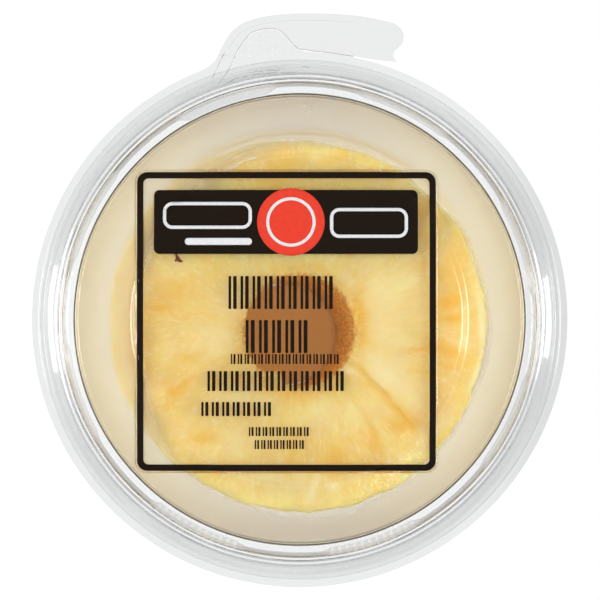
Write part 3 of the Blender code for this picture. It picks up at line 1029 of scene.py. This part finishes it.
frame_box = from_photo_box(137, 172, 436, 471)
frame_outer = rounded_box(*frame_box, 2.6)
x0, y0, x1, y1 = frame_box
frame_inner = rounded_box(x0 + FRAME_LINE, y0 + FRAME_LINE, x1 - FRAME_LINE, y1 - FRAME_LINE, 1.3)
banner = rounded_box(*from_photo_box(154, 190, 418, 254), 1.4)
dark_shapes = [(frame_outer, frame_inner), (banner, None)]
for left, top, right, bottom, pairs in WORD_ROWS:
    pitch = (right - left) / pairs
    for pair in range(pairs):
        for start, width in BARS_OF_PAIR:
            start_pixel = left + pitch * (pair + start)
            box = from_photo_box(start_pixel, top, start_pixel + pitch * width, bottom)
            dark_shapes.append((rounded_box(*box, (box[2] - box[0]) * 0.2, 2), None))
dark_print = draped("label_print_dark", dark_shapes, FILM + DARK_LIFT, INK)
dark_print.data.materials.append(ink("dark_brown_ink"))

disc_centre = on_lid(291, 222)


def circle(cx, cy, radius, steps=48):
    turns = [2 * math.pi * i / steps for i in range(steps)]
    return [(cx + radius * math.cos(turn), cy + radius * math.sin(turn)) for turn in turns]


red_shapes = [(circle(*disc_centre, RED_DISC_RADIUS), None)]
red_print = draped("label_print_red", red_shapes, FILM + RED_LIFT, INK)
red_print.data.materials.append(ink("red_ink"))


def outlined_box(left, top, right, bottom):
    """The outline of a box drawn with a line, and the hole inside it."""
    x0, y0, x1, y1 = from_photo_box(left, top, right, bottom)
    hole = (x0 + BOX_LINE, y0 + BOX_LINE, x1 - BOX_LINE, y1 - BOX_LINE)
    return (rounded_box(x0, y0, x1, y1, BOX_CORNER), rounded_box(*hole, BOX_CORNER - BOX_LINE))


white_shapes = [
    tuple(circle(*disc_centre, radius) for radius in RING_RADII),
    outlined_box(163, 202, 252, 229),
    (rounded_box(*from_photo_box(185, 238, 252, 245), 0.8), None),
    outlined_box(330, 208, 408, 238),
]
white_print = draped("label_print_white", white_shapes, FILM + WHITE_LIFT, INK)
white_print.data.materials.append(ink("white_ink"))


# The pineapple. It is a peeled cylinder, cut flat across the top, with the core bored out at a slight
# lean. The flesh is wet and fibrous: the fibres run from the bore to the side, and the side keeps
# shallow hollows where the eyes were.
FRUIT_RADIUS_TOP = 48.0
FRUIT_RADIUS_BASE = 45.8
FRUIT_TOP = 70.6
FRUIT_BASE = 0.9
FRUIT_CENTRE_TOP = (-0.5, -1.55)
FRUIT_CENTRE_BASE = (-0.3, -0.5)
KNIFE_FLATS = ((2, 0.49, 2.36), (3, 0.23, -0.05), (4, 0.18, 0.02), (13, 0.12, 1.3))
EYE_COUNT = 11
EYE_PITCH = 26.0
EYE_DEPTH = 0.7
FRUIT_EDGE = 1.1
CORE_RADIUS = 13.9
CORE_CENTRE_TOP = (0.0, -2.9)
CORE_CENTRE_BASE = (-4.6, -4.6)
LIP_WIDTH = 1.2
LIP_DEPTH = 1.6
FLAP_AT = 242.0
FLAP_REACH = 2.6
FLAP_SPREAD = 9.0
FRUIT_STEPS = 420


def between(base, top, height):
    share = (height - FRUIT_BASE) / (FRUIT_TOP - FRUIT_BASE)
    return tuple(b + (t - b) * share for b, t in zip(base, top))


def side_radius(angle, height):
    share = (height - FRUIT_BASE) / (FRUIT_TOP - FRUIT_BASE)
    radius = FRUIT_RADIUS_BASE + (FRUIT_RADIUS_TOP - FRUIT_RADIUS_BASE) * share
    flats = sum(size * math.sin(times * angle + start) for times, size, start in KNIFE_FLATS)
    eyes = 0.5 + 0.5 * math.cos(EYE_COUNT * angle) * math.cos(2 * math.pi * height / EYE_PITCH)
    return radius + flats - EYE_DEPTH * eyes


def flesh_noise(x, y, z, seed=0.0):
    return noise.noise(Vector((x + seed, y - seed, z + 2 * seed)))


# Patches of the cut face: a place, the half length, the half width, the turn in degrees, the strength.
ORANGE = (
    (-3.5, 39.8, 4.1, 2.0, 10, 0.80), (-6.3, 34.4, 5.1, 1.8, 0, 0.70), (9.7, 40.5, 3.6, 1.3, 0, 0.50),
    (-33.2, 6.2, 4.1, 3.0, 20, 0.50), (-34.7, 2.9, 2.3, 1.0, 0, 0.70), (-30.9, 9.3, 2.8, 1.3, -30, 0.40),
    (-28.6, -9.5, 3.3, 1.5, 0, 0.55), (-29.1, -16.6, 4.3, 1.0, 38, 0.90),
    (-32.7, -18.9, 1.8, 1.3, 0, 0.60),
    (-24.6, -30.1, 2.5, 1.5, 10, 0.85), (-2.2, -36.2, 2.3, 1.3, 60, 0.50),
    (36.9, 25.8, 1.8, 2.8, -20, 0.80),
    (31.6, 28.6, 2.0, 2.3, 80, 0.70), (39.7, 12.6, 3.0, 8.6, -4, 0.50), (38.7, 5.0, 4.1, 1.0, 10, 0.60),
    (38.7, 0.4, 4.1, 0.8, 12, 0.70), (30.6, -7.7, 4.1, 0.8, 0, 0.80), (38.9, -8.3, 4.1, 2.0, -15, 0.85),
    (38.2, -11.8, 3.3, 1.0, 5, 0.50), (19.1, -17.1, 5.1, 0.8, -42, 0.90),
    (24.5, -22.5, 3.3, 0.8, -45, 0.80),
    (26.5, -27.6, 3.6, 2.8, -50, 1.00), (18.4, -29.6, 6.1, 0.8, -68, 0.60),
    (9.2, -34.4, 2.8, 2.3, 0, 0.80),
    (9.7, -39.8, 2.3, 1.5, 0, 0.50), (0.1, -18.7, 8.6, 1.8, 0, 0.60), (15.0, 1.0, 1.4, 8.6, 0, 0.60),
    (8.2, 10.2, 6.1, 1.2, -38, 0.50), (42.0, -14.9, 1.8, 3.6, -20, 0.35),
    (15.4, -1.0, 2.4, 9.5, 0, 0.50),
    (38.0, 2.4, 3.5, 4.5, 0, 0.60), (2.0, 13.2, 8.0, 1.6, 0, 0.50), (-15.2, -4.0, 1.4, 8.0, 0, 0.35),
)
CREAM = (
    (22.4, 5.5, 8.6, 7.6, 0, 0.50), (25.0, -5.7, 5.6, 3.0, -20, 0.40),
    (22.9, -14.1, 8.1, 3.3, -40, 0.85),
    (46.1, -2.2, 1.0, 9.7, 2, 0.80), (45.5, -14.9, 1.3, 5.6, -20, 0.60),
    (8.5, -42.8, 1.5, 1.0, 20, 1.00),
    (3.6, -43.1, 1.3, 3.8, -15, 0.80), (-15.2, 6.2, 7.1, 4.6, 0, 0.45), (-20.8, -5.2, 6.6, 3.6, 0, 0.45),
    (-15.2, -20.4, 8.1, 2.5, 0, 0.40), (5.7, -25.5, 5.1, 3.6, 0, 0.25),
    (12.3, -13.3, 2.3, 1.0, -40, 0.90),
    (-9.6, -39.8, 7.6, 1.5, -12, 0.35), (33.6, -28.6, 2.3, 5.1, -40, 0.50),
    (-12.6, -30.6, 7.6, 3.6, 0, 0.30),
)
OLIVE = (
    (-22.8, 34.2, 4.6, 1.8, 20, 0.80), (-35.5, -28.6, 1.8, 8.6, 28, 0.70),
    (-21.5, -43.3, 10.7, 1.5, -27, 0.80),
    (-0.9, -48.6, 11.2, 1.3, -3, 0.70), (37.2, 27.1, 2.0, 3.3, 40, 0.90),
    (30.0, 32.9, 3.6, 1.8, -35, 0.60),
    (12.3, -47.9, 8.1, 1.3, 20, 0.60), (22.4, -43.3, 5.6, 1.5, 32, 0.50),
    (-38.0, 18.9, 1.8, 6.6, -18, 0.50),
    (7.7, 38.0, 15.2, 2.0, -8, 0.40), (37.6, 22.4, 3.0, 4.5, 0, 0.60),
    (-3.0, -43.5, 15.0, 3.5, -4, 0.45),
)
CRACKS = (
    (19.5, -16.6, 6.0, 0.35, -42, 1.0), (26.0, -24.0, 4.0, 0.4, -50, 0.8),
    (18.4, -29.6, 6.1, 0.4, -68, 0.5),
)


def patches(x, y, table):
    """How strongly the patches of a table show at a place on the cut face."""
    total = 0.0
    for px, py, length, width, turn, strength in table:
        cos, sin = math.cos(math.radians(turn)), math.sin(math.radians(turn))
        along = ((x - px) * cos + (y - py) * sin) / length
        aside = ((y - py) * cos - (x - px) * sin) / width
        total += strength * math.exp(-(along * along + aside * aside) * 0.9)
    return min(total, 1.0)


def radial_noise(angle, around, seed, height=0.0):
    x, y = math.cos(angle) * around + seed, math.sin(angle) * around - seed
    return noise.noise(Vector((x, y, height)))


def fruit_rows():
    """The fruit's section as a list of places: which face, how far along it, and the height."""
    side = np.linspace(FRUIT_BASE + 1.4, FRUIT_TOP - 1.4, 52)
    bore = np.linspace(FRUIT_TOP - LIP_DEPTH, FRUIT_BASE + 0.4, 40)
    return [
        *(("side", 0.0, float(height)) for height in side),
        *(("shoulder", step / 5, FRUIT_TOP) for step in range(1, 5)),
        *(("top", step / 77, FRUIT_TOP) for step in range(78)),
        *(("lip", step / 6, FRUIT_TOP) for step in range(1, 6)),
        *(("bore", 0.0, float(height)) for height in bore),
        *(("foot", step / 6, FRUIT_BASE) for step in range(6)),
    ]


def fruit_point(kind, share, height, angle):
    """A point of the fruit's skin. The side and the bore grow ragged towards the cut face."""
    cos, sin = math.cos(angle), math.sin(angle)
    top_outer = side_radius(angle, FRUIT_TOP) - FRUIT_EDGE
    ragged = 0.5 * radial_noise(angle, 9.0, 5.0) + 0.35 * radial_noise(angle, 26.0, 8.0)
    if kind == "side":
        cx, cy = between(FRUIT_CENTRE_BASE, FRUIT_CENTRE_TOP, height)
        rough = 0.14 * flesh_noise(cos * 9, sin * 9, height * 0.10, 3.0)
        near_top = smooth_step((height - 62.0) / 8.0)
        radius = side_radius(angle, height) + rough + ragged * near_top
        return cx + radius * cos, cy + radius * sin, height
    if kind == "shoulder":
        cx, cy = FRUIT_CENTRE_TOP
        turn = share * math.pi / 2
        radius = top_outer + ragged + FRUIT_EDGE * math.cos(turn)
        return cx + radius * cos, cy + radius * sin, FRUIT_TOP - FRUIT_EDGE * (1 - math.sin(turn)) - 0.1
    cx, cy = FRUIT_CENTRE_TOP
    bx, by = CORE_CENTRE_TOP
    from_flap = (math.degrees(angle) - FLAP_AT + 180) % 360 - 180
    corner = FLAP_REACH * math.exp(-((from_flap / FLAP_SPREAD) ** 2))
    torn = 0.45 * radial_noise(angle, 6.0, 21.0) + 0.30 * radial_noise(angle, 22.0, 23.0)
    if kind in ("top", "lip"):
        radius = CORE_RADIUS - corner + torn + LIP_WIDTH
        ox, oy = cx + (top_outer + ragged) * cos, cy + (top_outer + ragged) * sin
        ix, iy = bx + radius * cos, by + radius * sin
        if kind == "lip":
            radius -= LIP_WIDTH * math.sin(share * math.pi / 2)
            drop = LIP_DEPTH * (1 - math.cos(share * math.pi / 2))
            return bx + radius * cos, by + radius * sin, FRUIT_TOP - 0.2 - drop
        x, y = ox + (ix - ox) * share, oy + (iy - oy) * share
        distance = math.hypot(x - bx, y - by)
        fibres = radial_noise(angle, 15.0, 2.0, distance * 0.05)
        lumps = flesh_noise(x * 0.11, y * 0.11, 0.0, 4.0)
        sunk = 0.22 + 0.10 * fibres + 0.25 * lumps + 0.6 * patches(x, y, CRACKS)
        return x, y, FRUIT_TOP - max(sunk, 0.0)
    if kind == "bore":
        bx, by = between(CORE_CENTRE_BASE, CORE_CENTRE_TOP, height)
        near_top = smooth_step((height - 56.0) / 12.0)
        rough = 0.35 * flesh_noise(cos * 6, sin * 6, height * 0.12, 7.0)
        radius = CORE_RADIUS + rough + (torn - corner) * near_top
        return bx + radius * cos, by + radius * sin, height
    bx, by = CORE_CENTRE_BASE
    cx, cy = FRUIT_CENTRE_BASE
    outer = side_radius(angle, FRUIT_BASE) - FRUIT_EDGE
    ix, iy = bx + (CORE_RADIUS + 0.4) * cos, by + (CORE_RADIUS + 0.4) * sin
    ox, oy = cx + outer * cos, cy + outer * sin
    return ix + (ox - ix) * share, iy + (oy - iy) * share, FRUIT_BASE


rows = fruit_rows()
size = len(rows)
fruit_points, fruit_faces = [], []
for i in range(FRUIT_STEPS):
    angle = 2 * math.pi * i / FRUIT_STEPS
    fruit_points.extend(fruit_point(*row, angle) for row in rows)
    here, there = i * size, (i + 1) % FRUIT_STEPS * size
    for j in range(size):
        k = (j + 1) % size
        fruit_faces.append((here + j, there + j, there + k, here + k))
fruit_mesh = bpy.data.meshes.new("cored_pineapple")
fruit_mesh.from_pydata(np.array(fruit_points) * MM, [], fruit_faces)
fruit_mesh.shade_smooth()
fruit = bpy.data.objects.new("cored_pineapple", fruit_mesh)
scene.collection.objects.link(fruit)


def ragged_place(x, y):
    """A place on the cut face, shifted so that the patches get ragged edges."""
    x += 1.4 * flesh_noise(x * 0.16, y * 0.16, 0.0, 11.0) + 0.5 * flesh_noise(x * 0.6, y * 0.6, 0.0, 12.0)
    y += 1.4 * flesh_noise(x * 0.16, y * 0.16, 0.0, 15.0) + 0.5 * flesh_noise(x * 0.6, y * 0.6, 0.0, 16.0)
    return x, y


for name, table, elsewhere in (("orange", ORANGE, 0.25), ("cream", CREAM, 0.0), ("olive", OLIVE, 0.0)):
    values = []
    for index, (x, y, z) in enumerate(fruit_points):
        on_face = rows[index % size][0] in ("top", "lip", "shoulder")
        values.append(patches(*ragged_place(x, y), table) if on_face else elsewhere)
    write_mask(fruit_mesh, name, values)
# Near the bore's edge the top face takes a quarter of the bore's colour and glow: a painted golden-brown
# shade leading into the hole.
bore_values = []
for kind, share, height in rows:
    near_bore_shade = 0.25 * smooth_step((share - 0.9) / 0.1)
    bore_values.append({"bore": 1.0, "lip": 0.25 + 0.75 * share, "top": near_bore_shade}.get(kind, 0.0))
write_mask(fruit_mesh, "bore", bore_values * FRUIT_STEPS)

FLESH = (0.88, 0.63, 0.18)
FLESH_LIGHT = (0.92, 0.74, 0.29)
FLESH_TAN = (0.81, 0.56, 0.21)
FLESH_ORANGE = (0.88, 0.50, 0.05)
FLESH_CREAM = (0.96, 0.86, 0.52)
FLESH_OLIVE = (0.52, 0.46, 0.20)
# The bore glows faintly: a painted light for the light that reaches it through the flesh.
FLESH_BORE = (0.96, 0.58, 0.17)
BORE_DARK = (0.52, 0.23, 0.05)
BORE_PAINTED_GLOW = (1.0, 0.48, 0.05)
flesh_inputs = {
    "Roughness": 0.38, "IOR": 1.38, "Emission Color": (*BORE_PAINTED_GLOW, 1.0),
    "Subsurface Radius": (1.0, 0.5, 0.2), "Subsurface Scale": 0.012,
}
flesh, tree, shader = new_look("pineapple_flesh", flesh_inputs)
place = add_node(tree, "TexCoord").outputs["Object"]
split = add_node(tree, "SeparateXYZ", {0: place})
east = combine(tree, "SUBTRACT", split.outputs["X"], CORE_CENTRE_TOP[0] * MM)
north = combine(tree, "SUBTRACT", split.outputs["Y"], CORE_CENTRE_TOP[1] * MM)
squares = [combine(tree, "MULTIPLY", side, side) for side in (east, north)]
distance = combine(tree, "SQRT", combine(tree, "ADD", *squares))
radial_parts = {
    "X": combine(tree, "DIVIDE", east, distance),
    "Y": combine(tree, "DIVIDE", north, distance),
    "Z": combine(tree, "MULTIPLY", distance, 14.0),
}
radial = add_node(tree, "CombineXYZ", radial_parts).outputs[0]
fine_fibre = noise_at(tree, radial, 42.0, 3.0, 0.6)
mottle = noise_at(tree, place, 260.0)
bore = mask_of(tree, "bore")
colour = mix_colour(tree, level(tree, noise_at(tree, place, 70.0), (0.35, 0.65)), FLESH, FLESH_LIGHT)
for share, tone in (
    (level(tree, noise_at(tree, place, 150.0, 2.0), (0.45, 0.7), 0.0, 0.55), FLESH_TAN),
    (level(tree, noise_at(tree, radial, 9.0, 4.0, 0.6), (0.50, 0.64), 0.0, 0.30), FLESH_ORANGE),
    (level(tree, fine_fibre, (0.52, 0.66), 0.0, 0.30), FLESH_CREAM),
    (combine(tree, "MULTIPLY", mask_of(tree, "cream"), 0.85), FLESH_CREAM),
    (combine(tree, "MULTIPLY", mask_of(tree, "orange"), 0.85), FLESH_ORANGE),
    (combine(tree, "MULTIPLY", mask_of(tree, "olive"), 0.75), FLESH_OLIVE),
    (level(tree, mottle, (0.5, 0.8), 0.0, 0.2), FLESH_CREAM),
):
    colour = mix_colour(tree, share, colour, tone)
drawn_out = add_node(tree, "VectorMath", {0: place, 1: (1.0, 1.0, 0.1)}, operation="MULTIPLY")
bore_grain = level(tree, noise_at(tree, drawn_out.outputs[0], 1500.0, 2.0), (0.40, 0.60))
bore_colour = mix_colour(tree, bore_grain, FLESH_BORE, BORE_DARK)
relief = combine(tree, "ADD", fine_fibre, combine(tree, "MULTIPLY", mottle, 0.6))
bump = add_node(tree, "Bump", {"Strength": 0.25, "Distance": 0.0004, "Height": relief})
surface_inputs = {
    "Base Color": mix_colour(tree, bore, colour, bore_colour),
    # painted light: the bore and its lip glow
    "Emission Strength": combine(tree, "MULTIPLY", bore, 0.13),
    "Subsurface Weight": level(tree, bore, (0.3, 1.0), 0.7, 0.2),
    "Normal": bump.outputs["Normal"],
}
set_inputs(tree, shader, surface_inputs)
fruit_mesh.materials.append(flesh)
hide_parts("pineapple")
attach(fruit, "root")


# The eye fleck. One brown scrap of an eye was left by the knife near the edge of the cut face. It lies
# flat on the flesh, with a short tail.
FLECK = [
    (-31.5, 16.9, 0.28, 0.20), (-31.4, 16.4, 0.30, 0.20), (-31.2, 15.9, 0.42, 0.20),
    (-31.0, 15.4, 0.55, 0.20), (-30.6, 15.0, 0.50, 0.20), (-30.1, 14.8, 0.34, 0.16),
    (-31.5, 15.0, 0.34, 0.16),
]
FLECK_TONES = ((0.10, 0.010, 0.001), (0.21, 0.032, 0.003))
fleck_spots = [(x, y, FRUIT_TOP - 0.25, radius, rise) for x, y, radius, rise in FLECK]
fleck = bosses("eye_fleck", fleck_spots)
fleck_look, tree, shader = new_look("brown_eye_scrap", {"Roughness": 0.5})
mottled(tree, shader, 900.0, 2.0, *FLECK_TONES, way="Generated")
fleck.data.materials.append(fleck_look)
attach(fleck, "root")


# The juice. A shallow cloudy pool stands round the foot of the fruit, and another in the foot of the
# bore, whose much darker tone is painted shade of the deep bore. Both let the light of the table through.
JUICES = {
    "juice": ("cloudy_juice", (0.93, 0.84, 0.60), (0.90, 0.79, 0.52), 0.25),
    # the darker tones of the bore's juice are painted shade
    "core_juice": ("deep_cloudy_juice", (0.56, 0.23, 0.055), (0.50, 0.20, 0.045), 0.3),
}
for node_name, (name, tone, deeper, roughness) in JUICES.items():
    juice_inputs = {"Roughness": roughness, "IOR": 1.34, "Transmission Weight": 0.9}
    look, tree, shader = new_look(name, juice_inputs)
    mottled(tree, shader, 45.0, 2.0, tone, deeper)
    open_to_lamps(tree, shader, tone)
    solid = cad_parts[node_name]
    solid.data.materials.clear()
    solid.data.materials.append(look)
